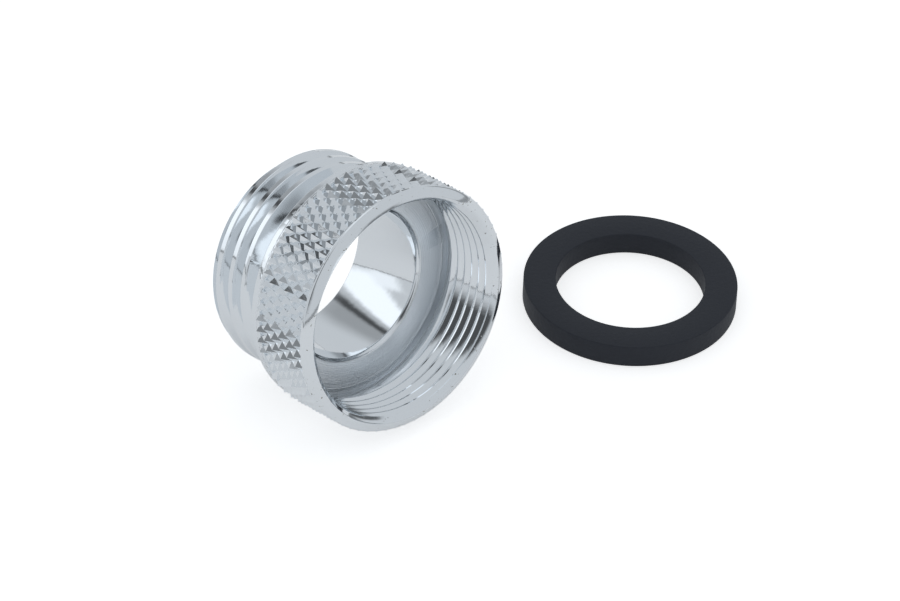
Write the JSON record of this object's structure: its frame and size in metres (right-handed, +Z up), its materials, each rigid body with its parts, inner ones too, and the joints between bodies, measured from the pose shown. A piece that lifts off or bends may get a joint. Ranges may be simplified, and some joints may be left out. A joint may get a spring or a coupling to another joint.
{
  "type": "thread adapter",
  "caption": "Knurled chrome tap-spout thread adapter, female fine thread to male pipe thread, lying on its side with its flat rubber sealing washer beside it",
  "frame": {"origin": "on the surface that the set lies on, under the middle of the set's bounding box", "axes": "+X from the adapter towards the washer beside it, the longest way; -Y the way the adapter's mouth faces; +Z up from the surface. The adapter's own axis leans back from -Y by about 11 degrees, mouth up, because its male end is thinner than its collar."},
  "size_m": [0.0512, 0.0274, 0.0249],
  "materials": {
    "chrome_plate": "bright chrome plate over turned and knurled brass",
    "washer_rubber": "smooth matt black rubber"
  },
  "bodies": {
    "root": {"adapter_body": "chrome_plate", "seal_washer": "washer_rubber"}
  },
  "joints": []
}
